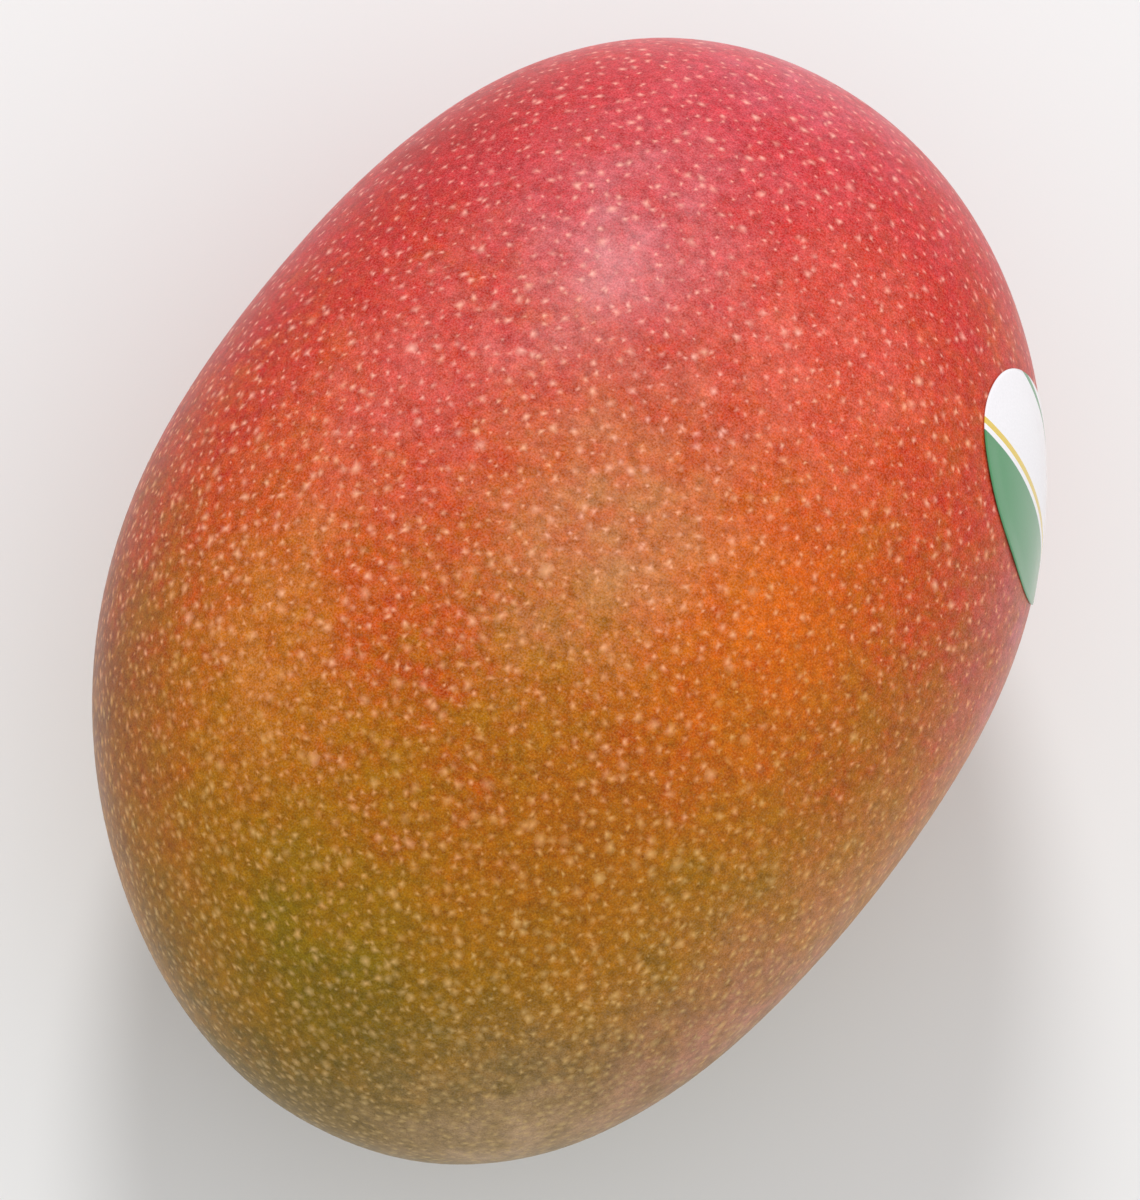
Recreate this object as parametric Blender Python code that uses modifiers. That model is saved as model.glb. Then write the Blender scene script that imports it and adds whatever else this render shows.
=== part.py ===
"""A ripe mango lying on one cheek, with the dry stub of its stem and a small oval paper label.

Metres, +Z up. The origin is the centre of the underside of the bounding box, on the surface
that the fruit rests on. +Y runs along the fruit towards its stem end, X across it from flank
to flank, and Z through its cheeks, which is its thinnest way.
"""

import math

import bmesh
import bpy
import numpy as np
from mathutils import Matrix, Vector

# Body of the fruit: half sizes, before the bend of the midline and the flat spot
HALF_LENGTH = 0.0633
HALF_WIDTH = 0.0462
HALF_THICKNESS = 0.0412
FULLNESS = 2.07  # exponent of the superellipsoid: 2 is an ellipsoid, more has fuller shoulders
STEM_END_WIDER = 0.021  # share by which the width grows from the middle to the stem end
STEM_END_THICKER = 0.05  # the same for the thickness
BEND = 0.0012  # the midline swings this far to each side of the straight long axis
BEND_RATE = 4.2  # radians of that swing over half the length
APEX_LEAN = 0.0017  # sideways lean of the apex, towards the belly of the fruit
APEX_LEAN_POWER = 6.9  # how late along the fruit that lean sets in
FLAT_DEPTH = 0.0006  # height of the slice that the flat spot takes off the lower cheek

# Stem cavity, the hole in its floor and the stub that stands there
STEM_DROOP = math.radians(8)  # the stem end points this much below the horizontal
CAVITY_DEPTH = 0.0026
CAVITY_RADIUS = 0.0060
HOLE_RADIUS = 0.0027
HOLE_DEPTH = 0.0040
GAP = 0.0003  # clearance between neighbouring pieces
COLLAR_RADIUS = 0.0031
COLLAR_BASE = 0.0011  # height of the collar's lower edge over the cavity's floor
STUB_HEIGHT = 0.0023

# Raised scar that the flower's style left on the underside of the apex
SCAR_TOWARDS = (0.10, -1.0, -0.34)
SCAR_RADIUS = 0.0036
SCAR_HEIGHT = 0.0006

# Label: where its centre lies, as a direction in the body's unit sphere, and its half sizes
LABEL_TOWARDS = (0.80, 0.48, 0.35)
LABEL_HALF_LONG = 0.0153
LABEL_HALF_SHORT = 0.0110
LABEL_TURN = math.radians(15)  # lean of its long axis, from straight over the flank to the stem end
LABEL_THICKNESS = 0.0002

# Mesh density
AROUND, ALONG = 56, 46  # segments round the long axis, and rings from end to end
CROWDING = 0.25  # draws the rings towards both ends, where the cavity and the scar are
ROUND_SEGMENTS = 24
LABEL_CELLS = 12


def unit(vectors):
    """The same directions, each with length one."""
    return vectors / np.linalg.norm(vectors, axis=-1, keepdims=True)


def body_point(direction):
    """Points of the smooth body for unit directions: a superellipsoid on a gently bent midline."""
    share = (np.abs(direction) ** FULLNESS).sum(-1, keepdims=True) ** (1 / FULLNESS)
    across, along, up = (direction / share).T
    bend = BEND * np.sin(BEND_RATE * along)
    lean = APEX_LEAN * ((1 - along) / 2) ** APEX_LEAN_POWER
    x = HALF_WIDTH * across * (1 + STEM_END_WIDER * along) + bend + lean
    z = HALF_THICKNESS * up * (1 + STEM_END_THICKER * along)
    return np.stack([x, HALF_LENGTH * along, z], 1)


def body_normal(direction):
    """Outward unit normals of the smooth body, from two small steps over the unit sphere."""
    step = 1e-4
    aside = unit(np.cross(direction, [0.0, 1.0, 0.0]))
    ahead = np.cross(aside, direction)
    here = body_point(direction)
    first = body_point(unit(direction + step * aside)) - here
    second = body_point(unit(direction + step * ahead)) - here
    normal = unit(np.cross(second, first))
    return normal * np.sign((normal * direction).sum(1, keepdims=True))


STEM_AXIS = np.array([0.0, math.cos(STEM_DROOP), -math.sin(STEM_DROOP)])
STEM_SEAT = body_point(STEM_AXIS[None])[0]  # where the stem's axis meets the smooth body
CAVITY_FLOOR = STEM_SEAT - CAVITY_DEPTH * STEM_AXIS
TO_STEM_AXIS = Matrix.Rotation(-math.pi / 2 - STEM_DROOP, 4, "X")  # turns +Z onto the stem's axis


def skin_point(direction):
    """The body's points with the stem cavity pressed in and the scar raised, both as soft bells."""
    points = body_point(direction)
    from_stem = np.linalg.norm(points - STEM_SEAT, axis=1, keepdims=True)
    dent = CAVITY_DEPTH * np.exp(-((from_stem / CAVITY_RADIUS) ** 2))
    scar_direction = unit(np.array([SCAR_TOWARDS]))
    from_scar = np.linalg.norm(points - body_point(scar_direction), axis=1, keepdims=True)
    rise = SCAR_HEIGHT * np.exp(-((from_scar / SCAR_RADIUS) ** 2))
    return points - dent * STEM_AXIS + rise * body_normal(scar_direction)


def fruit_centre():
    """Where the body's own centre goes, so that the origin is under the middle of its box."""
    turn = np.linspace(0, 2 * math.pi, 721)
    outline = body_point(np.stack([np.cos(turn), np.sin(turn), 0 * turn], 1))
    profile = body_point(np.stack([0 * turn, np.cos(turn), np.sin(turn)], 1))
    middle = (outline.max(0) + outline.min(0)) / 2
    return Vector((-middle[0], -middle[1], -profile[:, 2].min() - FLAT_DEPTH))


def material(name, colour, roughness):
    """A plain surface of one colour, given in linear light."""
    made = bpy.data.materials.new(name)
    made.use_nodes = True
    shader = made.node_tree.nodes["Principled BSDF"]
    shader.inputs["Base Color"].default_value = (*colour, 1)
    shader.inputs["Roughness"].default_value = roughness
    shader.inputs["Metallic"].default_value = 0
    return made


def add_object(name, bm, collection, parent, surface=None):
    """Turns a bmesh into an object of the collection, hung on the parent."""
    mesh = bpy.data.meshes.new(name)
    bm.to_mesh(mesh)
    bm.free()
    made = bpy.data.objects.new(name, mesh)
    collection.objects.link(made)
    made.parent = parent
    if surface:
        mesh.materials.append(surface)
    return made


def smooth(made, angle=math.radians(40)):
    """Shades the object smooth except over edges sharper than the angle."""
    made.data.shade_smooth()
    made.data.set_sharp_from_angle(angle=angle)


def make_fruit(collection, cutters, parent):
    """The body from a sphere, with its flat spot sliced off and the stem's hole cut out."""
    bm = bmesh.new()
    bmesh.ops.create_uvsphere(bm, u_segments=AROUND, v_segments=ALONG, radius=1)
    sphere = unit(np.array([v.co for v in bm.verts]))
    polar = np.arccos(np.clip(sphere[:, 2], -1, 1))
    turn = np.arctan2(sphere[:, 1], sphere[:, 0])
    polar -= CROWDING * np.sin(2 * polar)
    sphere = np.stack([np.sin(polar) * np.cos(turn), np.sin(polar) * np.sin(turn), np.cos(polar)], 1)
    points = skin_point(sphere @ np.array(TO_STEM_AXIS.to_3x3()).T)
    for vertex, place in zip(bm.verts, points):
        vertex.co = place
    bm.normal_update()
    geometry = bm.verts[:] + bm.edges[:] + bm.faces[:]
    level = Vector((0, 0, -parent.location.z))
    cut = bmesh.ops.bisect_plane(bm, geom=geometry, plane_co=level, plane_no=(0, 0, -1), clear_outer=True)
    rim = [edge for edge in cut["geom_cut"] if isinstance(edge, bmesh.types.BMEdge)]
    bmesh.ops.contextual_create(bm, geom=rim)
    bmesh.ops.recalc_face_normals(bm, faces=bm.faces)
    fruit = add_object("fruit", bm, collection, parent, material("skin", (0.60, 0.16, 0.05), 0.42))
    smooth(fruit)

    bm = bmesh.new()
    bmesh.ops.create_cone(
        bm, cap_ends=True, segments=ROUND_SEGMENTS, radius1=HOLE_RADIUS, radius2=HOLE_RADIUS,
        depth=2 * HOLE_DEPTH,
    )
    drill = add_object("stem_hole_cutter", bm, cutters, parent)
    drill.matrix_local = Matrix.Translation(CAVITY_FLOOR) @ TO_STEM_AXIS
    drill.hide_render = True
    drill.display_type = "WIRE"
    hole = fruit.modifiers.new("Stem hole", "BOOLEAN")
    hole.operation = "DIFFERENCE"
    hole.object = drill
    return fruit


def make_stub(collection, parent):
    """The dry stub: a peg that stands in the hole and flares to a worn collar at its broken end."""
    peg = HOLE_RADIUS - GAP
    foot = GAP - HOLE_DEPTH
    profile = [
        (0, STUB_HEIGHT - 0.0004),
        (0.5 * peg, STUB_HEIGHT - 0.0002),
        (0.9 * peg, STUB_HEIGHT),
        (COLLAR_RADIUS, STUB_HEIGHT - 0.0004),
        (COLLAR_RADIUS, COLLAR_BASE),
        (peg, COLLAR_BASE - 0.0004),
        (peg, foot),
        (0, foot),
    ]
    bm = bmesh.new()
    corners = [bm.verts.new((radius, 0, height)) for radius, height in profile]
    for start, end in zip(corners, corners[1:]):
        bm.edges.new((start, end))
    stub = add_object("stem_stub", bm, collection, parent, material("stem_wood", (0.09, 0.05, 0.025), 0.8))
    stub.matrix_local = Matrix.Translation(CAVITY_FLOOR) @ TO_STEM_AXIS
    turned = stub.modifiers.new("Turned", "SCREW")
    turned.steps = turned.render_steps = ROUND_SEGMENTS
    turned.use_merge_vertices = True
    turned.merge_threshold = 0.00001
    return stub


def label_point(flat, lift):
    """Points of the label for flat coordinates (towards the stem end, up over the flank) in metres."""
    centre = unit(np.array(LABEL_TOWARDS))
    towards_stem = unit(np.array([0.0, 1.0, 0.0]) - centre[1] * centre)
    over_flank = np.cross(centre, towards_stem)
    over_flank *= np.sign(over_flank[2])
    step = 1e-4
    probes = unit(np.stack([centre, centre + step * towards_stem, centre + step * over_flank]))
    base, beside, above = body_point(probes)
    stem_stretch = np.linalg.norm(beside - base) / step
    flank_stretch = np.linalg.norm(above - base) / step
    shift = flat[:, :1] / stem_stretch * towards_stem + flat[:, 1:] / flank_stretch * over_flank
    direction = unit(centre + shift)
    return body_point(direction) + lift * body_normal(direction)


def make_label(collection, parent):
    """The label: an oval sheet bent onto the skin, thickened outwards."""
    bm = bmesh.new()
    bmesh.ops.create_grid(bm, x_segments=LABEL_CELLS, y_segments=LABEL_CELLS, size=1)
    square = np.array([v.co for v in bm.verts])[:, :2]
    x, y = square.T
    disc = np.stack([x * np.sqrt(1 - y * y / 2), y * np.sqrt(1 - x * x / 2)], 1)
    long_way = np.array([math.sin(LABEL_TURN), math.cos(LABEL_TURN)])
    short_way = np.array([math.cos(LABEL_TURN), -math.sin(LABEL_TURN)])
    flat = LABEL_HALF_SHORT * disc[:, :1] * short_way + LABEL_HALF_LONG * disc[:, 1:] * long_way
    points = label_point(flat, GAP)
    for vertex, place in zip(bm.verts, points):
        vertex.co = place
    bm.normal_update()
    outward = Vector(unit(np.array(LABEL_TOWARDS)))
    middle = min(bm.faces, key=lambda face: (face.calc_center_median() - Vector(points.mean(0))).length)
    if middle.normal.dot(outward) < 0:
        bmesh.ops.reverse_faces(bm, faces=bm.faces)
    label = add_object("label", bm, collection, parent, material("label_paper", (0.82, 0.83, 0.80), 0.35))
    smooth(label)
    sheet = label.modifiers.new("Sheet", "SOLIDIFY")
    sheet.thickness = LABEL_THICKNESS
    sheet.offset = 1
    return label


def main():
    for old in list(bpy.data.objects):
        bpy.data.objects.remove(old)
    mango = bpy.data.collections.new("mango")
    cutters = bpy.data.collections.new("mango_cutters")
    for collection in (mango, cutters):
        bpy.context.scene.collection.children.link(collection)
    centre = bpy.data.objects.new("fruit_centre", None)
    centre.location = fruit_centre()
    centre.empty_display_size = 0.01
    mango.objects.link(centre)
    make_fruit(mango, cutters, centre)
    make_stub(mango, centre)
    make_label(mango, centre)


main()
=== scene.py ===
# %% [markdown]
# # A mango on a pale table
#
# The real thing is one ripe fruit, about 126 mm long, lying on its cheek and seen from above.
# It has three pieces: the fruit, the dry stub of its stem and a small oval paper label.
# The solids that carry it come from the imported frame. This file gives them their looks: a fine
# skin worked out from the same formula, thousands of lenticels, a fibrous stub and a printed label.

import math

import bpy
import numpy as np
from mathutils import Matrix, Vector


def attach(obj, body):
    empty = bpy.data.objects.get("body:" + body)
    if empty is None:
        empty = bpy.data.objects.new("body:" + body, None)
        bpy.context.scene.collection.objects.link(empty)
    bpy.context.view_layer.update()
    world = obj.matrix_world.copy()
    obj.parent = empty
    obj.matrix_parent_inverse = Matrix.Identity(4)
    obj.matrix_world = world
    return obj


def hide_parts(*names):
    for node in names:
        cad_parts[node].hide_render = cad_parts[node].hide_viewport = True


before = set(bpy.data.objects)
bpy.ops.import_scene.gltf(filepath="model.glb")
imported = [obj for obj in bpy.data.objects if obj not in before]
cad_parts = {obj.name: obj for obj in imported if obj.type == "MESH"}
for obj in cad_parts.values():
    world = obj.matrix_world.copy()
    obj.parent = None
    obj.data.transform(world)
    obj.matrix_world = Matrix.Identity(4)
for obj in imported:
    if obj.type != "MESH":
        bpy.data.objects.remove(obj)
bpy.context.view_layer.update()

# %% [markdown]
# ## Shared helpers
#
# Every new surface here is a grid of points worked out with numpy, so one function turns a grid
# into a mesh. Colours are written as sRGB hex values, the way a colour picker shows them, and
# one function turns them into the linear values that a shader needs.

# %% Small helpers
MM = 0.001
rng = np.random.default_rng(7)


def unit(vectors):
    """The same directions, each with length one."""
    return vectors / np.linalg.norm(vectors, axis=-1, keepdims=True)


def step(low, high, value):
    """A smooth rise from 0 to 1 as the value goes from low to high: 3s squared minus 2s cubed."""
    s = np.clip((value - low) / (high - low), 0, 1)
    return s * s * (3 - 2 * s)


def linear(hex_colour):
    """Linear-light RGBA of an sRGB hex colour."""
    srgb = np.array([int(hex_colour[i:i + 2], 16) for i in (1, 3, 5)]) / 255
    light = np.where(srgb <= 0.04045, srgb / 12.92, ((srgb + 0.055) / 1.055) ** 2.4)
    return (*light, 1.0)


# %% Mesh helpers
def mesh_object(name, points, faces, material, replaced=()):
    """A shaded mesh that rides on the fruit's body and hides the imported parts that it stands for."""
    mesh = bpy.data.meshes.new(name)
    mesh.from_pydata(points.tolist(), [], faces)
    mesh.validate()
    mesh.shade_smooth()
    mesh.materials.append(material)
    made = bpy.data.objects.new(name, mesh)
    bpy.context.collection.objects.link(made)
    if replaced:
        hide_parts(*replaced)
    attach(made, "root")
    print(name, len(mesh.polygons), "faces")
    return made


def attribute(made, name, values):
    """Stores one number for each vertex, for a material to read."""
    layer = made.data.attributes.new(name, "FLOAT", "POINT")
    layer.data.foreach_set("value", values.astype(np.float32))


def every_pair(first, second):
    """Two rows of values paired each with each, as two flat arrays: a grid of points."""
    return (values.ravel() for values in np.meshgrid(first, second, indexing="ij"))


def tube_faces(rings, around):
    """Quads between closed rings of points that turn leftwards about an axis and go down along it."""
    ring, turn = np.meshgrid(np.arange(rings - 1), np.arange(around), indexing="ij")
    after = (turn + 1) % around
    here, below = ring * around, (ring + 1) * around
    return np.stack([here + turn, below + turn, below + after, here + after], -1).reshape(-1, 4)


def closed_faces(rings, around):
    """Faces of a tube whose ends are closed by two pole points, numbered last: top, then bottom."""
    turn = np.arange(around)
    after = (turn + 1) % around
    top, bottom, last = rings * around, rings * around + 1, (rings - 1) * around
    top_cap = np.stack([0 * turn + top, turn, after], 1)
    bottom_cap = np.stack([0 * turn + bottom, last + after, last + turn], 1)
    return tube_faces(rings, around).tolist() + top_cap.tolist() + bottom_cap.tolist()


# %% Shader helpers
def add_node(tree, kind, inputs=None, links=None, **settings):
    """Adds a shader node, sets its properties and input values, and links outputs to its inputs."""
    node = tree.nodes.new(kind)
    for key, value in settings.items():
        setattr(node, key, value)
    for key, value in (inputs or {}).items():
        node.inputs[key].default_value = value
    for key, output in (links or {}).items():
        tree.links.new(output, node.inputs[key])
    return node


def new_material(name):
    """A material with an empty node tree, and that tree."""
    made = bpy.data.materials.new(name)
    made.use_nodes = True
    made.node_tree.nodes.clear()
    return made, made.node_tree


def set_ramp(node, stops):
    """Fills a Color Ramp with (position, hex colour) stops."""
    elements = node.color_ramp.elements
    elements.remove(elements[-1])
    elements[0].position = stops[0][0]
    for position, colour in stops:
        element = elements[0] if position == stops[0][0] else elements.new(position)
        element.color = linear(colour)


# %% [markdown]
# ## The body
#
# A mango is a slightly oblique egg: fuller at the stem end, with a midline that swings a little
# from side to side and an apex that leans to the belly side. A superellipsoid on a bent midline
# says all that in one formula, so the skin can be as fine as the eye needs and still lies on the
# same surface as the solid it stands for. The values repeat the solid's own.

# %% Body formula
HALF_LENGTH, HALF_WIDTH, HALF_THICKNESS = 63.3 * MM, 46.2 * MM, 41.2 * MM
FULLNESS = 2.07
STEM_END_WIDER, STEM_END_THICKER = 0.021, 0.05
BEND, BEND_RATE = 1.2 * MM, 4.2
APEX_LEAN, APEX_LEAN_POWER = 1.7 * MM, 6.9
FLAT_DEPTH = 0.6 * MM

STEM_DROOP = math.radians(8)
CAVITY_DEPTH, CAVITY_RADIUS = 2.6 * MM, 6.0 * MM
HOLE_RADIUS, HOLE_DEPTH = 2.7 * MM, 4.0 * MM
SCAR_TOWARDS = (0.10, -1.0, -0.34)
SCAR_RADIUS, SCAR_HEIGHT = 3.6 * MM, 0.6 * MM


def body_point(direction):
    """A superellipsoid point for each unit direction, moved sideways with the bent midline."""
    share = (np.abs(direction) ** FULLNESS).sum(-1, keepdims=True) ** (1 / FULLNESS)
    across, along, up = (direction / share).T
    bend = BEND * np.sin(BEND_RATE * along)
    lean = APEX_LEAN * ((1 - along) / 2) ** APEX_LEAN_POWER
    x = HALF_WIDTH * across * (1 + STEM_END_WIDER * along) + bend + lean
    z = HALF_THICKNESS * up * (1 + STEM_END_THICKER * along)
    return np.stack([x, HALF_LENGTH * along, z], 1)


def body_normal(direction):
    """Outward unit normals of the smooth body: the cross product of two small steps over it."""
    small = 1e-4
    aside = unit(np.cross(direction, [0.0, 1.0, 0.0]) + [1e-9, 0, 0])
    ahead = np.cross(aside, direction)
    here = body_point(direction)
    first = body_point(unit(direction + small * aside)) - here
    second = body_point(unit(direction + small * ahead)) - here
    normal = unit(np.cross(second, first))
    return normal * np.sign((normal * direction).sum(1, keepdims=True))


# %% Places on the body
# The centre lies over the middle of the fruit's box, at the height that puts the flat on the table
turns = np.linspace(0, 2 * math.pi, 721)
outline = body_point(np.stack([np.cos(turns), np.sin(turns), 0 * turns], 1))
profile = body_point(np.stack([0 * turns, np.cos(turns), np.sin(turns)], 1))
middle = (outline.max(0) + outline.min(0)) / 2
CENTRE = np.array([-middle[0], -middle[1], -profile[:, 2].min() - FLAT_DEPTH])

STEM_AXIS = np.array([0.0, math.cos(STEM_DROOP), -math.sin(STEM_DROOP)])
STEM_SIDE = np.array([1.0, 0.0, 0.0])
STEM_UNDER = np.cross(STEM_AXIS, STEM_SIDE)
STEM_SEAT = body_point(STEM_AXIS[None])[0]
CAVITY_FLOOR = STEM_SEAT - CAVITY_DEPTH * STEM_AXIS
print("fruit centre in mm:", np.round(CENTRE / MM, 2))

# %% [markdown]
# ## Camera
#
# The photograph looks at the upper cheek, with the stem end to the upper right and just out of
# sight over the horizon. So the camera looks down, leaning a little from the apex side, and is
# rolled until the fruit's long axis slants as in the picture. A long lens keeps the perspective
# as calm as a product photograph's.

# %% Camera
IMAGE_HEIGHT = 1200  # pixels of the whole frame
PIXELS_PER_MM = 9.26
CAMERA_DISTANCE = 540 * MM
CAMERA_LEAN = math.radians(12)
CAMERA_ROLL = math.radians(27.5)
AIM_RIGHT, AIM_UP = 0.355 * MM, -0.64 * MM  # aim point beside the fruit's centre, in the picture

towards_camera = Vector((0, -math.sin(CAMERA_LEAN), math.cos(CAMERA_LEAN)))
level_right = Vector((1, 0, 0))
level_up = towards_camera.cross(level_right)
picture_right = math.cos(CAMERA_ROLL) * level_right + math.sin(CAMERA_ROLL) * level_up
picture_up = towards_camera.cross(picture_right)

camera_data = bpy.data.cameras.new("camera")
camera_data.sensor_width = 36
camera_data.lens = camera_data.sensor_width * CAMERA_DISTANCE / (IMAGE_HEIGHT / PIXELS_PER_MM * MM)
camera = bpy.data.objects.new("camera", camera_data)
aim = Vector(CENTRE) + AIM_RIGHT * picture_right + AIM_UP * picture_up
turned = Matrix((picture_right, picture_up, towards_camera)).transposed().to_4x4()
camera.matrix_world = Matrix.Translation(aim + CAMERA_DISTANCE * towards_camera) @ turned
bpy.context.collection.objects.link(camera)
bpy.context.scene.camera = camera
print("lens", round(camera_data.lens, 1), "mm")

# %% [markdown]
# ## The fruit's surface
#
# The real skin is smooth, but not a perfect egg: it swells and dips by a tenth of a millimetre,
# puckers round the stem and carries the small scar of the flower's style under the apex. All of
# these are heights on one formula, so the skin, the lenticels and the label share them exactly.
# A sculpted mesh would look as good, but nothing else could be laid on it by calculation.

# %% Surface formula
SWELL_WAVES, SWELL_HEIGHT = 9, 0.045 * MM
swell_ways = rng.normal(size=(SWELL_WAVES, 3)) * np.linspace(3, 9, SWELL_WAVES)[:, None]
swell_starts = rng.uniform(0, 2 * math.pi, SWELL_WAVES)
PUCKER_FOLDS, PUCKER_SHARE = 5, 0.16
PIT_SHARE, PIT_REACH = 0.35, 0.3  # the scar's own pit, as shares of the scar's height and radius
flat_level = -CENTRE[2]


def surface_point(direction, lift=0.0):
    """The body, raised by waves, dented by a puckered bell at the stem and lifted at the scar.

    The hole in the cavity's floor is a steep step down. What would reach below the table is
    pressed flat onto it. The lift moves the point outwards.
    """
    points, normals = body_point(direction), body_normal(direction)
    waves = np.sin(direction @ swell_ways.T + swell_starts).sum(1, keepdims=True)
    away = points - STEM_SEAT
    from_stem = np.linalg.norm(away, axis=1, keepdims=True)
    radii = from_stem / CAVITY_RADIUS
    angle = np.arctan2(away @ STEM_UNDER, away @ STEM_SIDE)[:, None]
    puckers = 1 + PUCKER_SHARE * np.sin(PUCKER_FOLDS * angle + 1) * step(0.3, 0.9, radii)
    dent = CAVITY_DEPTH * puckers * np.exp(-(radii ** 2))
    hole = HOLE_DEPTH * step(1.06 * HOLE_RADIUS, 0.94 * HOLE_RADIUS, from_stem)
    scar_direction = unit(np.array([SCAR_TOWARDS]))
    scar_way = points - body_point(scar_direction)
    from_scar = np.linalg.norm(scar_way, axis=1, keepdims=True) / SCAR_RADIUS
    pit = PIT_SHARE * np.exp(-((from_scar / PIT_REACH) ** 2))
    rise = SCAR_HEIGHT * (np.exp(-(from_scar ** 2)) - pit)
    points = points - (dent + hole) * STEM_AXIS + rise * body_normal(scar_direction)
    points += (SWELL_HEIGHT * waves * step(0.6, 2, radii) / 3 + lift) * normals
    points[:, 2] = np.maximum(points[:, 2], flat_level)
    return points + CENTRE


print("surface at the stem's pole in mm:", np.round(surface_point(STEM_AXIS[None])[0] / MM, 1))

# %% [markdown]
# ## Ripeness
#
# Where the sun reached it the skin is crimson; round the sides it turns orange, and the shaded
# apex stays ochre and olive. Botanists would call it blush over ground colour. One number says
# how far the blush has come at each point, from the direction towards the sun. Broad patches,
# such as the flame of orange on the right cheek, are soft spots laid over it. A few patches also
# hold painted light: a painted highlight on the upper left shoulder, painted reflection of the
# pale room on the rims of the right flank, the apex and the stem end, and painted shade along the
# left edge. The blush and the patches are stored on the vertices, and the material breaks up their
# edges with noise. They could be brushed on by hand in Vertex Paint mode, but a list of patches is
# changed in one line.
#
# Most numbers of the patches, the sunny side and the skin's colour ramp weren't chosen by eye.
# A separate program fitted them by least squares to a blurred copy of the photograph, and they
# were then rounded, merged or changed by hand. The two patches of the lower cheek are made up.

# %% Blush and patches
SUNNY_SIDE = np.array([-0.32, 0.90, 0.30])
# Each patch: direction of its centre, its radius over the unit sphere, its colour and its strength
PATCHES = {
    "orange flame": ((0.41, -0.03, 0.91), 0.25, "#D8680E", 0.74),
    "vermilion on the left shoulder": ((-0.72, 0.56, 0.40), 0.24, "#A21D17", 0.58),
    "vermilion on the right shoulder": ((0.25, 0.43, 0.87), 0.30, "#E26C5D", 0.55),
    # Partly a painted highlight: pale rose laid where the key light's highlight falls on the shoulder
    "pale rose bloom and painted highlight": ((-0.30, 0.45, 0.84), 0.28, "#CC777C", 0.61),
    "rosy window": ((-0.54, 0.05, 0.84), 0.27, "#DC7066", 0.48),
    "tan window": ((0.02, -0.02, 1.00), 0.24, "#C28A5C", 0.66),
    "gold over the left flank": ((-0.51, -0.40, 0.76), 0.25, "#CC7E3C", 0.65),
    "deep ochre": ((0.27, -0.48, 0.83), 0.23, "#A66002", 0.64),
    "olive shade by the apex": ((-0.18, -0.76, 0.62), 0.24, "#7E7010", 0.52),
    # The next three patches paint the pale room's reflection on the rims of the right flank and the
    # apex; the first also holds rose skin
    "rose and painted rim reflection on the right flank": ((0.92, 0.30, 0.25), 0.38, "#C46A6E", 0.58),
    "painted rim reflection below the right flank": ((0.80, -0.54, 0.26), 0.34, "#C2806C", 0.60),
    "painted rim reflection by the apex": ((0.40, -0.89, 0.22), 0.30, "#B49674", 0.62),
    # Painted shade: darkens the left flank's rim, over brown skin
    "brown with painted shade on the left flank's edge": ((-0.85, -0.52, 0.10), 0.40, "#824712", 0.60),
    # Partly painted reflection: lightens the top rim as the pale room's reflection would, over the
    # stem end's rose skin
    "rose and painted rim reflection on the stem end": ((-0.04, 0.90, 0.43), 0.34, "#CC6070", 0.52),
    # Painted shade: darkens the left edge, over crimson skin
    "crimson with painted shade on the left edge": ((-0.99, 0.04, 0.12), 0.32, "#A41412", 0.52),
    "orange on the lower cheek": ((-0.10, 0.10, -1.00), 0.50, "#D08A28", 0.45),
    "green on the lower cheek": ((0.35, -0.45, -0.82), 0.35, "#8C8A1C", 0.50),
}


def blush(direction):
    """How red the skin is: the cosine between a point's direction and the sunny side, from -1 to 1."""
    return direction @ SUNNY_SIDE


def patch_colours(direction):
    """Linear colour and strength of the patches: each one is laid over the last as a soft bell."""
    colour = np.zeros((len(direction), 3))
    cover = np.zeros((len(direction), 1))
    for towards, radius, hex_colour, strength in PATCHES.values():
        away = np.linalg.norm(direction - unit(np.array(towards)), axis=1, keepdims=True)
        share = strength * np.exp(-((away / radius) ** 2))
        under = (1 - share) * cover
        cover = share + under
        pigment = np.array(linear(hex_colour)[:3])
        colour = (share * pigment + under * colour) / np.maximum(cover, 1e-6)
    return np.concatenate([colour, cover], 1)


def paint(made, direction):
    """Stores the blush and the patches on a piece's vertices."""
    attribute(made, "blush", blush(direction))
    layer = made.data.attributes.new("patch", "FLOAT_COLOR", "POINT")
    layer.data.foreach_set("color", patch_colours(direction).astype(np.float32).ravel())


print(len(PATCHES), "patches over the blush")

# %% [markdown]
# ## Skin material
#
# Mango skin is a waxy cuticle over pigmented cells: a satin dielectric with an index near 1.45.
# The blush number passes through a colour ramp. Noise breaks it up at four sizes: clouds of about
# 12 mm, mottling of 3 mm, flecks of 1 mm and a grain of a fifth of a millimetre. The finest one
# also adds pale specks of wax. A picture of real skin would be quicker, but it would stretch and
# show a seam, and noise in space does neither. Wax bloom scatters much of the gloss, so the
# specular level is lower than bare skin's.

# %% Noise and sums in a material
# These functions add to the tree that is being built, so every material below calls it "tree" and
# its Object coordinates "place"
skin_material, tree = new_material("waxy mango skin")
place = add_node(tree, "ShaderNodeTexCoord").outputs["Object"]


def noise(size, detail, offset=0.0, roughness=0.55):
    """Noise whose features are about this size, shifted so that no two layers are alike."""
    moved = add_node(tree, "ShaderNodeVectorMath", {1: (offset, 2 * offset, 3 * offset)}, {0: place})
    inputs = {"Scale": 1 / size, "Detail": detail, "Roughness": roughness}
    return add_node(tree, "ShaderNodeTexNoise", inputs, {"Vector": moved.outputs[0]}).outputs["Fac"]


def joined(operation, first, second, **settings):
    """Two values joined by a Math node."""
    links = {0: first, 1: second}
    return add_node(tree, "ShaderNodeMath", links=links, operation=operation, **settings).outputs[0]


def scaled(colour, share):
    """A colour made darker or lighter by a share."""
    links = {0: colour, "Scale": share}
    return add_node(tree, "ShaderNodeVectorMath", links=links, operation="SCALE").outputs[0]


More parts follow.
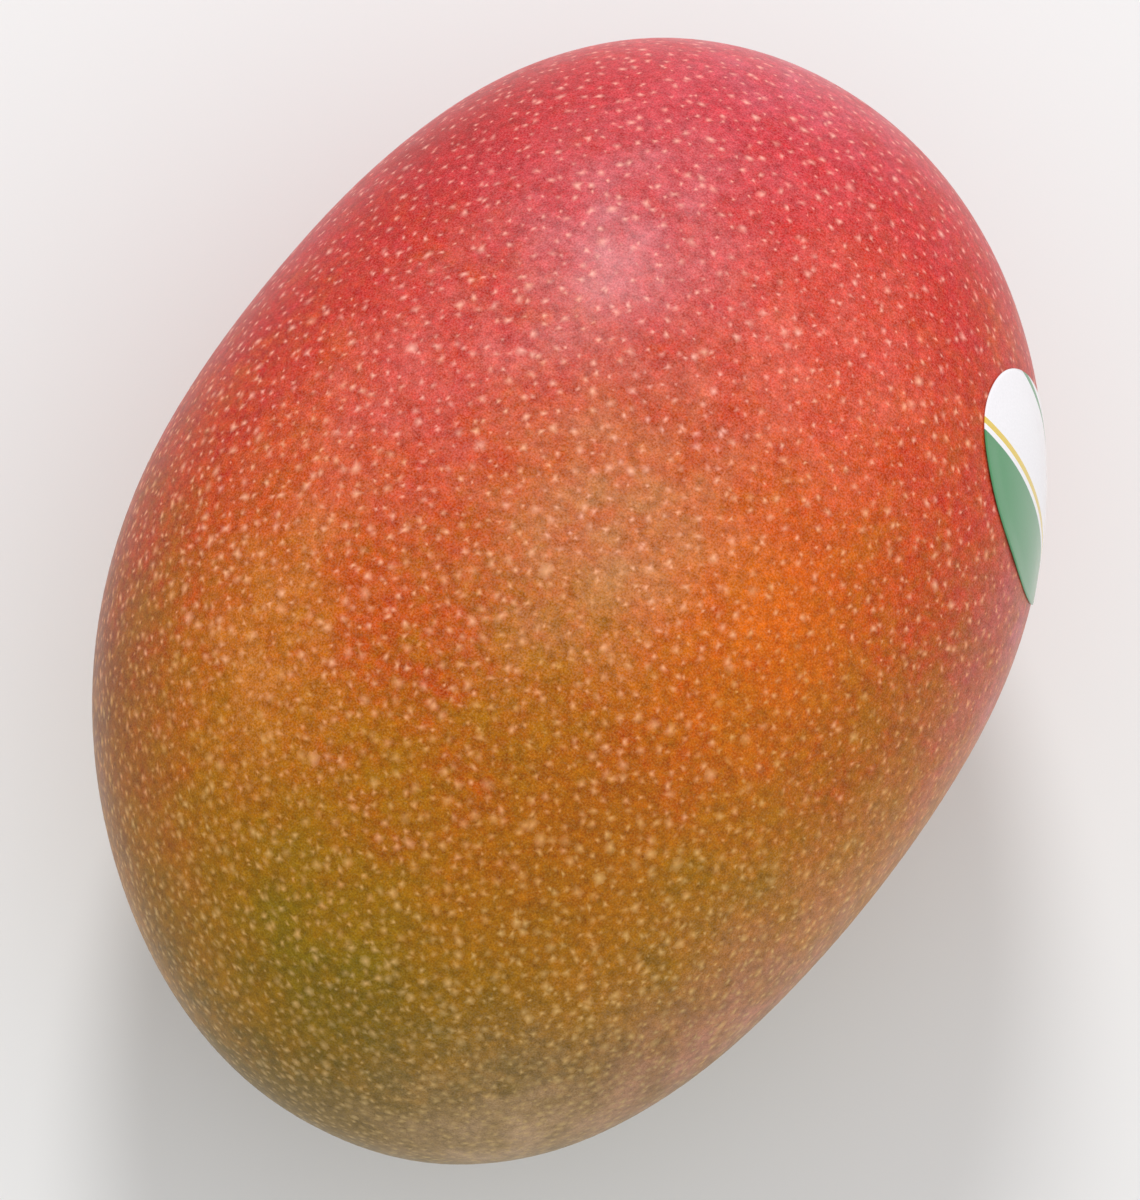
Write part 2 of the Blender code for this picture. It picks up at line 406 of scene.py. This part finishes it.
def ranged(value, low, high, new_low, new_high):
    """A value between low and high moved to the new range, and held within it."""
    inputs = {1: low, 2: high, 3: new_low, 4: new_high}
    return add_node(tree, "ShaderNodeMapRange", inputs, {0: value}).outputs[0]


def stored(name):
    """The number that each vertex carries under this name."""
    return add_node(tree, "ShaderNodeAttribute", attribute_name=name).outputs["Fac"]


def spread(value, low, high):
    """Noise from 0.25 to 0.75 spread between two values."""
    return ranged(value, 0.25, 0.75, low, high)


def mix(factor, first, second):
    """Second colour over first by the factor."""
    node = add_node(tree, "ShaderNodeMix", data_type="RGBA", links={"Factor": factor})
    tree.links.new(first, node.inputs[6])
    tree.links.new(second, node.inputs[7])
    return node.outputs[2]


# %% Skin colour: blush over ground colour
CLOUD_SIZE, MOTTLE_SIZE, FLECK_SIZE, GRAIN_SIZE = 12 * MM, 3.2 * MM, 1.1 * MM, 0.20 * MM
# How far the noise of each size moves the blush, up or down
CLOUD_SHIFT, MOTTLE_SHIFT, FLECK_SHIFT = 0.22, 0.16, 0.13
APEX_CALM = 0.35  # the olive apex is calmer than the blush: the share of the noise left there

blush_here = stored("blush")
clouds = spread(noise(CLOUD_SIZE, 3, 0.1), -CLOUD_SHIFT, CLOUD_SHIFT)
mottle = spread(noise(MOTTLE_SIZE, 3, 0.3), -MOTTLE_SHIFT, MOTTLE_SHIFT)
flecks = spread(noise(FLECK_SIZE, 2, 0.4), -FLECK_SHIFT, FLECK_SHIFT)
calm = ranged(blush_here, -0.9, -0.1, APEX_CALM, 1.0)
unevenness = joined("ADD", joined("ADD", clouds, mottle), flecks)
ripeness = joined("ADD", blush_here, joined("MULTIPLY", calm, unevenness))
ramp_place = ranged(ripeness, -1.0, 1.0, 0.0, 1.0)
ground = add_node(tree, "ShaderNodeValToRGB", links={"Fac": ramp_place})
set_ramp(ground, [
    (0.12, "#745C1E"), (0.24, "#9A6C0F"), (0.34, "#AA6E0D"), (0.42, "#AC6710"), (0.50, "#B26018"),
    (0.58, "#BA531E"), (0.66, "#C64D25"), (0.76, "#BF3D29"), (0.86, "#C1332E"), (0.95, "#C5383C"),
])

# %% Skin colour: patches, shade and wax
PATCH_EDGE_SIZE, PATCH_EDGE = 1.6 * MOTTLE_SIZE, 0.6  # noise that thins and thickens the patches
GRAIN_SHADE, FLECK_SHADE = 0.22, 0.28  # how far grain and flecks darken or lighten the skin
WAX_DARK, WAX_PALE = -0.055, 0.035  # linear light that the wax's specks take away or add

patch = add_node(tree, "ShaderNodeAttribute", attribute_name="patch")
patch_noise = spread(noise(PATCH_EDGE_SIZE, 4, 0.5), 1 - PATCH_EDGE, 1 + PATCH_EDGE)
patch_cover = joined("MULTIPLY", patch.outputs["Alpha"], patch_noise, use_clamp=True)
patched = mix(patch_cover, ground.outputs["Color"], patch.outputs["Color"])
grain = spread(noise(GRAIN_SIZE, 2, 0.7, 0.6), 1 - GRAIN_SHADE, 1 + GRAIN_SHADE)
fleck_shade = spread(noise(FLECK_SIZE, 3, 0.8, 0.6), 1 - FLECK_SHADE, 1 + FLECK_SHADE)
shaded = scaled(patched, joined("MULTIPLY", grain, fleck_shade))
wax = joined("MULTIPLY", calm, spread(noise(GRAIN_SIZE, 1, 1.7), WAX_DARK, WAX_PALE))
waxed = add_node(tree, "ShaderNodeVectorMath", links={0: shaded, 1: wax}, operation="ADD").outputs[0]
grained = add_node(tree, "ShaderNodeVectorMath", {1: (0.002, 0.002, 0.002)}, {0: waxed},
                   operation="MAXIMUM").outputs[0]

# %% Skin: lenticels and gloss
RIM_FADE = 1.8  # power that keeps a lenticel's rim close to the skin's colour
PORE_SIZE, PORE_DEPTH = 0.7 * MM, 0.05 * MM

pale = stored("pale")
pale_shape = add_node(tree, "ShaderNodeMath", {1: RIM_FADE}, {0: pale}, operation="POWER").outputs[0]
cork = add_node(tree, "ShaderNodeValToRGB", links={"Fac": ramp_place})
set_ramp(cork, [
    (0.10, "#BEA068"), (0.28, "#E2B26C"), (0.40, "#E4A460"),
    (0.50, "#F6AE7A"), (0.60, "#FFBA8E"), (0.80, "#FFB8A6"),
])
skin_colour = mix(pale_shape, grained, cork.outputs["Color"])

roughness = spread(noise(MOTTLE_SIZE, 2, 0.9), 0.30, 0.38)
relief = add_node(tree, "ShaderNodeBump", {"Strength": 0.25, "Distance": PORE_DEPTH},
                  {"Height": noise(PORE_SIZE, 3, 1.1)})
skin_shader = add_node(
    tree, "ShaderNodeBsdfPrincipled",
    {"IOR": 1.45, "Specular IOR Level": 0.13},
    {"Base Color": skin_colour, "Roughness": roughness, "Normal": relief.outputs[0]},
)
add_node(tree, "ShaderNodeOutputMaterial", links={"Surface": skin_shader.outputs[0]})
print("skin material:", len(tree.nodes), "nodes")

# %% [markdown]
# ## Skin mesh
#
# The skin is one closed sheet. A subdivided sphere would do, but rings about the stem's axis put
# their points where the hollow and the scar need them: they are crowded a little at both ends.
# Each end is closed by one point.

# %% Skin mesh
SKIN_AROUND, SKIN_RINGS = 380, 240
CROWDING = 0.15

polar = np.linspace(0, math.pi, SKIN_RINGS + 2)[1:-1]
polar = polar - CROWDING * np.sin(2 * polar)
turn = np.linspace(0, 2 * math.pi, SKIN_AROUND, endpoint=False)
polar, turn = every_pair(polar, turn)
skin_direction = (
    (np.sin(polar) * np.cos(turn))[:, None] * STEM_SIDE
    + (np.sin(polar) * np.sin(turn))[:, None] * STEM_UNDER
    + np.cos(polar)[:, None] * STEM_AXIS
)
skin_direction = np.concatenate([skin_direction, [STEM_AXIS, -STEM_AXIS]])
skin = mesh_object(
    "mango_skin", surface_point(skin_direction), closed_faces(SKIN_RINGS, SKIN_AROUND),
    skin_material, ["fruit"],
)
paint(skin, skin_direction)

# %% [markdown]
# ## Lenticels
#
# The pale dots are lenticels, corky pores in the skin, 0.6 to 1 mm across. They stand about 2 mm
# apart by the stem and closer by the apex. A cell pattern in the material would be simpler, but
# cells in space give dots of all sizes in random clumps. So each one is a flat, ragged star on the
# skin. They follow a spiral that keeps them evenly spaced, shaken so that no row shows, and they
# share the skin's material, which fades each star's rim into the skin.

# %% Lenticel places
STEM_SPACING, APEX_SPACING = 1.90 * MM, 1.38 * MM
PACKING = 0.92  # share of a square grid's area that one dot of the spiral takes
SHAKE = 0.21  # share of the spacing by which a lenticel usually strays
GOLDEN_TURN = math.pi * (3 - math.sqrt(5))


def lenticel_directions():
    """Evenly spaced directions: a row of dots from end to end, each a golden turn on from the last.

    The count wanted at each height is the ring's area over the spacing squared there, so its
    running sum, read backwards, gives the height of every dot.
    """
    height = np.linspace(-1, 1, 4001)
    radius = np.sqrt(np.maximum(1 - height ** 2, 0))
    around = 2 * math.pi * radius * math.sqrt((HALF_WIDTH ** 2 + HALF_THICKNESS ** 2) / 2)
    slant = np.hypot(HALF_LENGTH, HALF_WIDTH * height / np.maximum(radius, 0.02))
    spacing = APEX_SPACING + (STEM_SPACING - APEX_SPACING) * step(-0.9, 0.6, height)
    wanted = np.cumsum(around * slant / spacing ** 2) * (height[1] - height[0]) / PACKING
    count = int(wanted[-1])
    order = np.arange(count) + 0.5
    along = np.interp(order, wanted, height)
    gap = np.interp(along, height, spacing)
    turns = order * GOLDEN_TURN
    ring = np.sqrt(1 - along ** 2)
    found = np.stack([ring * np.cos(turns), along, ring * np.sin(turns)], 1)
    stray = rng.normal(size=found.shape) * (SHAKE * gap / HALF_WIDTH)[:, None]
    return unit(found + stray)


lenticel = lenticel_directions()
seat = surface_point(lenticel)
from_stem = np.linalg.norm(seat - CENTRE - STEM_SEAT, axis=1)
shown = (from_stem > 1.5 * HOLE_RADIUS) & (seat[:, 2] > 0.2 * MM)
lenticel = lenticel[shown]
print(len(lenticel), "lenticels")

# %% Lenticel mesh
STAR_POINTS = 7
STEM_STAR, APEX_STAR = 0.58 * MM, 0.74 * MM  # radius, with the soft rim
SIZE_SPREAD = 0.26
SHORTEST, LONGEST = 0.40, 1.30  # reach of a star's points, as shares of its radius
STAR_HEIGHT, STAR_SINK = 0.014 * MM, 0.003 * MM
FAINTEST = 0.62  # paleness of the faintest lenticel; the palest has 1


def star_mesh(direction, radius):
    """A star for each direction: rim points at random reach, a top point and a sunk bottom point."""
    count = len(direction)
    aside = unit(np.cross(direction, [0.0, 1.0, 0.0]) + [1e-9, 0, 0])
    ahead = np.cross(aside, direction)
    small = 1e-3
    here = body_point(direction)
    aside_reach = np.linalg.norm(body_point(unit(direction + small * aside)) - here, axis=1) / small
    ahead_reach = np.linalg.norm(body_point(unit(direction + small * ahead)) - here, axis=1) / small
    first_angle = rng.uniform(0, 2 * math.pi, (count, 1))
    angle = first_angle + np.arange(STAR_POINTS) * 2 * math.pi / STAR_POINTS
    reach = radius[:, None] * rng.uniform(SHORTEST, LONGEST, (count, STAR_POINTS))
    across = (reach * np.cos(angle) / aside_reach[:, None])[..., None] * aside[:, None]
    along = (reach * np.sin(angle) / ahead_reach[:, None])[..., None] * ahead[:, None]
    rim = unit(direction[:, None] + across + along).reshape(-1, 3)
    points = np.concatenate([
        surface_point(rim, -STAR_SINK),
        surface_point(direction, STAR_HEIGHT),
        surface_point(direction, -2 * STAR_HEIGHT),
    ])
    first = np.arange(count)[:, None] * STAR_POINTS + np.arange(STAR_POINTS)
    after = np.roll(first, -1, axis=1)
    top = np.broadcast_to((count * STAR_POINTS + np.arange(count))[:, None], first.shape)
    faces = [np.stack([top, first, after], -1), np.stack([top + count, after, first], -1)]
    return points, np.concatenate(faces).reshape(-1, 3), np.concatenate([rim, direction, direction])


size = APEX_STAR + (STEM_STAR - APEX_STAR) * step(-0.7, 0.3, lenticel[:, 1])
size *= rng.lognormal(0, SIZE_SPREAD, len(lenticel))
star_points, star_faces, star_directions = star_mesh(lenticel, size)
lenticels = mesh_object("lenticels", star_points, star_faces.tolist(), skin_material)
paint(lenticels, star_directions)
paleness = rng.uniform(FAINTEST, 1.0, len(lenticel))
rims = np.zeros(len(lenticel) * STAR_POINTS)
attribute(lenticels, "pale", np.concatenate([rims, paleness, np.zeros(len(lenticel))]))
lenticels.data.shade_flat()

# %% [markdown]
# ## Stem stub
#
# Where the stalk was cut off, a short dry stub stays in the hollow: bark outside, a ring of
# fibres and a sunken pith at the break. It could be carved by displacement, but a profile carried
# round the stem's axis keeps the fibres radial and the bark's cracks upright, as they grow.

# %% Stem stub
STUB_AROUND, STUB_RINGS = 144, 90
# Distance from the axis and height over the hollow's floor, in mm, from the pith down to the peg
STUB_PROFILE = np.array([
    (0.15, 1.75), (0.7, 1.8), (1.0, 2.05), (1.7, 2.15), (2.3, 2.3), (2.75, 2.2), (2.95, 1.9),
    (2.9, 1.4), (3.0, 0.9), (3.15, 0.55), (3.0, 0.25), (2.5, 0.0), (2.4, -3.5), (0.3, -3.6),
]) * MM
BARK_CRACKS, FIBRES = (5, 9, 14, 23), (17, 26, 41)  # waves once round the stub
CRACK_DEPTH = 0.022  # share of the radius
BULGE, FIBRE_RELIEF, BREAK_SLOPE = 0.10 * MM, 0.075 * MM, 0.16 * MM
crack_starts, fibre_starts = rng.uniform(0, 6.28, 4), rng.uniform(0, 6.28, 3)


def stub_point(share, turn):
    """The profile carried round the axis, with upright cracks in the bark and radial fibres on top."""
    corner = np.linspace(0, 1, len(STUB_PROFILE))
    radius = np.interp(share, corner, STUB_PROFILE[:, 0])
    height = np.interp(share, corner, STUB_PROFILE[:, 1])
    bark, fibres = 0, 0
    for waves, start in zip(BARK_CRACKS, crack_starts):
        bark = bark + np.sin(waves * (turn + 2 / 9 * height / MM) + start)
    for waves, start in zip(FIBRES, fibre_starts):
        fibres = fibres + np.sin(waves * turn + 1.5 * radius / MM + start)
    above = step(0.2 * MM, 0.9 * MM, height)
    top = step(1.5 * MM, 2.0 * MM, height) * step(0.2 * MM, 1.6 * MM, radius)
    radius = radius * (1 - CRACK_DEPTH * above * np.abs(bark))
    radius = radius + BULGE * above * np.sin(3 * turn + 1)
    height = height + (FIBRE_RELIEF * fibres + BREAK_SLOPE * np.sin(2 * turn + 0.5)) * top
    out = np.cos(turn)[:, None] * STEM_SIDE + np.sin(turn)[:, None] * STEM_UNDER
    return CENTRE + CAVITY_FLOOR + height[:, None] * STEM_AXIS + radius[:, None] * out


share = np.linspace(0, 1, STUB_RINGS)
turn = np.linspace(0, 2 * math.pi, STUB_AROUND, endpoint=False)
share, turn = every_pair(share, turn)
poles = CENTRE + CAVITY_FLOOR + STUB_PROFILE[[0, -1], 1:] * STEM_AXIS
stub_points = np.concatenate([stub_point(share, turn), poles])
print("stub's box in mm:", np.round(np.ptp(stub_points, axis=0) / MM, 1))

# %% [markdown]
# ## Stub material
#
# Dry wood and bark: matt, fibrous, grey-brown. The break shows a brown pith, a pale ring of wood
# and dark bark, so the colour comes from the distance to the stem's axis that each vertex
# carries. Fine streaks run along the axis: the noise is stretched that way by a Mapping node
# turned with the stem. Painting the three rings by hand would do for one stub, but not fit
# another profile.

# %% Stub material
FIBRE_SIZE, FIBRE_STRETCH = 0.35 * MM, 5
RING_EDGE_SIZE, RING_EDGE = 0.5 * MM, 0.08  # noise that roughens the rings' edges
BARK_RADIUS = 3 * MM

stub_material, tree = new_material("dry fruit stalk")
place = add_node(tree, "ShaderNodeTexCoord").outputs["Object"]
stretch = {"Rotation": (STEM_DROOP, 0, 0), "Scale": (1, 1 / FIBRE_STRETCH, 1)}
along_stem = add_node(tree, "ShaderNodeMapping", stretch, {"Vector": place}).outputs[0]
fibre_noise = add_node(tree, "ShaderNodeTexNoise", {"Scale": 1 / FIBRE_SIZE, "Detail": 4.0},
                       {"Vector": along_stem}).outputs["Fac"]
ring_edge = spread(noise(RING_EDGE_SIZE, 4, 0.2), -RING_EDGE, RING_EDGE)
ring_place = joined("ADD", stored("from_axis"), ring_edge)
wood = add_node(tree, "ShaderNodeValToRGB", links={"Fac": ring_place})
set_ramp(wood, [
    (0.08, "#5E452C"), (0.24, "#8A6C45"), (0.34, "#B2986A"),
    (0.74, "#A08558"), (0.84, "#4C3726"), (0.98, "#3C2B1D"),
])
streaked = scaled(wood.outputs["Color"], spread(fibre_noise, 0.55, 1.35))
bark_relief = add_node(tree, "ShaderNodeBump", {"Strength": 0.6, "Distance": 0.1 * MM},
                       {"Height": fibre_noise})
wood_shader = add_node(tree, "ShaderNodeBsdfPrincipled", {"IOR": 1.5, "Roughness": 0.8},
                       {"Base Color": streaked, "Normal": bark_relief.outputs[0]})
add_node(tree, "ShaderNodeOutputMaterial", links={"Surface": wood_shader.outputs[0]})

stub = mesh_object(
    "fibrous_stem_stub", stub_points, closed_faces(STUB_RINGS, STUB_AROUND),
    stub_material, ["stem_stub"],
)
from_floor = stub_points - CENTRE - CAVITY_FLOOR
off_axis = from_floor - (from_floor @ STEM_AXIS)[:, None] * STEM_AXIS
attribute(stub, "from_axis", np.linalg.norm(off_axis, axis=1) / BARK_RADIUS)

# %% [markdown]
# ## Label
#
# The sticker is an oval of coated paper, 30 by 22 mm, pressed onto the upper right flank. It
# follows the fruit but not perfectly: its edge lifts a little here and there. It could be cut
# from the skin's mesh, but its own grid of rings has a clean edge and a real thickness.

# %% Label shape
LABEL_TOWARDS = (0.80, 0.48, 0.35)
LABEL_HALF_LONG, LABEL_HALF_SHORT = 15.3 * MM, 11.0 * MM
LABEL_TURN = math.radians(15)
LABEL_THICKNESS, LABEL_GAP, EDGE_LIFT = 0.11 * MM, 0.03 * MM, 0.16 * MM
LABEL_RINGS, LABEL_AROUND = 34, 180


def label_point(flat, lift):
    """Points of a flat oval laid on the fruit: metres towards the stem end and up over the flank."""
    centre = unit(np.array(LABEL_TOWARDS))
    towards_stem = unit(np.array([0.0, 1.0, 0.0]) - centre[1] * centre)
    over_flank = np.cross(centre, towards_stem)
    small = 1e-4
    probes = unit(np.stack([centre, centre + small * towards_stem, centre + small * over_flank]))
    base, beside, above = body_point(probes)
    stem_stretch = np.linalg.norm(beside - base) / small
    flank_stretch = np.linalg.norm(above - base) / small
    shift = flat[:, :1] / stem_stretch * towards_stem + flat[:, 1:] / flank_stretch * over_flank
    return surface_point(unit(centre + shift), lift[:, None])


inside = np.linspace(0, 1, LABEL_RINGS + 1)[1:] ** 0.9
reach = np.concatenate([inside, inside[::-1]])
height = np.concatenate([np.full(LABEL_RINGS, LABEL_THICKNESS), np.zeros(LABEL_RINGS)])
turn = np.linspace(0, 2 * math.pi, LABEL_AROUND, endpoint=False)
reach_grid, turn_grid = every_pair(reach, turn)
height_grid = np.repeat(height, LABEL_AROUND)
reach_grid, turn_grid = np.append(reach_grid, [0, 0]), np.append(turn_grid, [0, 0])
height_grid = np.append(height_grid, [LABEL_THICKNESS, 0])

long_way = np.array([math.sin(LABEL_TURN), math.cos(LABEL_TURN)])
short_way = np.array([math.cos(LABEL_TURN), -math.sin(LABEL_TURN)])
long_place = LABEL_HALF_LONG * reach_grid * np.sin(turn_grid)
short_place = LABEL_HALF_SHORT * reach_grid * np.cos(turn_grid)
flat = short_place[:, None] * short_way + long_place[:, None] * long_way
edge_waves = 0.5 + 0.5 * np.sin(2 * turn_grid + 0.8) * np.sin(5 * turn_grid)
edge_lift = EDGE_LIFT * step(0.8, 1, reach_grid) * edge_waves
label_points = label_point(flat, LABEL_GAP + height_grid + edge_lift)
print("label's box in mm:", np.round(np.ptp(label_points, axis=0) / MM, 1))

# %% [markdown]
# ## Label material
#
# Coated paper printed with plain bands. The bands follow the label, so they come from the place
# across it that each vertex carries, through a ramp with hard steps. A picture of the print
# would be usual, but the ramp stays sharp however near the eye comes. The coat gives a faint
# gloss.

# %% Label material
PAPER_GRAIN, PAPER_RELIEF_SIZE, PAPER_RELIEF = 0.25 * MM, 0.4 * MM, 0.03 * MM

label_material, tree = new_material("printed coated paper")
place = add_node(tree, "ShaderNodeTexCoord").outputs["Object"]
bands = add_node(tree, "ShaderNodeValToRGB", links={"Fac": stored("band_place")})
bands.color_ramp.interpolation = "CONSTANT"
set_ramp(bands, [
    (0.0, "#3A8A52"), (0.37, "#F5F2F6"), (0.40, "#E3C23E"), (0.435, "#F5F2F6"),
    (0.92, "#3A8A52"), (0.95, "#F5F2F6"),
])
printed = scaled(bands.outputs["Color"], spread(noise(PAPER_GRAIN, 3, 0.4), 0.95, 1.03))
paper_relief = add_node(tree, "ShaderNodeBump", {"Strength": 0.15, "Distance": PAPER_RELIEF},
                        {"Height": noise(PAPER_RELIEF_SIZE, 3, 0.6)})
paper_shader = add_node(
    tree, "ShaderNodeBsdfPrincipled",
    {"IOR": 1.5, "Roughness": 0.38, "Coat Weight": 0.8, "Coat Roughness": 0.2},
    {"Base Color": printed, "Normal": paper_relief.outputs[0]},
)
add_node(tree, "ShaderNodeOutputMaterial", links={"Surface": paper_shader.outputs[0]})

label = mesh_object(
    "oval_paper_label", label_points, closed_faces(2 * LABEL_RINGS, LABEL_AROUND),
    label_material, ["label"],
)
attribute(label, "band_place", 0.5 + 0.5 * short_place / LABEL_HALF_SHORT)

# %% [markdown]
# ## Studio
#
# The photograph was lit softly from all round, with one large, gentle highlight on the upper
# left shoulder and a paler rim on the right. So the room is a white world over a near-white floor,
# brighter on the right as if a large reflector stood there, and a round light hangs where that
# highlight's reflection points. Smaller or stronger lights would draw hard spots on the wax.

# %% Floor
FLOOR_SIZE = 3.0  # metres

half = FLOOR_SIZE / 2
corners = [(-half, -half, 0), (half, -half, 0), (half, half, 0), (-half, half, 0)]
floor_mesh = bpy.data.meshes.new("floor")
floor_mesh.from_pydata(corners, [], [(0, 1, 2, 3)])
floor_material, tree = new_material("matt white card")
card = add_node(tree, "ShaderNodeBsdfPrincipled", {"Base Color": linear("#EAEAEA"), "Roughness": 0.9})
add_node(tree, "ShaderNodeOutputMaterial", links={"Surface": card.outputs[0]})
floor_mesh.materials.append(floor_material)
floor = bpy.data.objects.new("floor", floor_mesh)
bpy.context.collection.objects.link(floor)
print("floor", FLOOR_SIZE, "m wide")

# %% Key light and room
KEY_TOWARDS = Vector((-0.40, 0.63, 0.67)).normalized()
KEY_DISTANCE, KEY_SIZE, KEY_POWER = 0.9, 0.22, 3.8  # metres, metres and watts
WORLD_DIM, WORLD_BRIGHT = 0.44, 1.10
REFLECTOR_SIDE = (0.88, -0.45, 0.10)

key_data = bpy.data.lights.new("key", "AREA")
key_data.shape = "DISK"
key_data.size = KEY_SIZE
key_data.energy = KEY_POWER
key_light = bpy.data.objects.new("key", key_data)
turned = KEY_TOWARDS.to_track_quat("Z", "Y").to_matrix().to_4x4()
key_light.matrix_world = Matrix.Translation(Vector(CENTRE) + KEY_DISTANCE * KEY_TOWARDS) @ turned
bpy.context.collection.objects.link(key_light)

world = bpy.data.worlds.new("pale room")
world.use_nodes = True
room = world.node_tree
sky_direction = add_node(room, "ShaderNodeTexCoord").outputs["Generated"]
to_reflector = add_node(room, "ShaderNodeVectorMath", {1: REFLECTOR_SIDE}, {0: sky_direction},
                        operation="DOT_PRODUCT")
sky_light = add_node(room, "ShaderNodeMapRange", {1: -1.0, 2: 1.0, 3: WORLD_DIM, 4: WORLD_BRIGHT},
                     {0: to_reflector.outputs["Value"]}).outputs[0]
room.nodes["Background"].inputs["Color"].default_value = (1, 1, 1, 1)
room.links.new(sky_light, room.nodes["Background"].inputs["Strength"])
bpy.context.scene.world = world
bpy.context.scene.view_settings.view_transform = "Standard"
print("room light from", WORLD_DIM, "to", WORLD_BRIGHT, "and a key light of", KEY_POWER, "W")
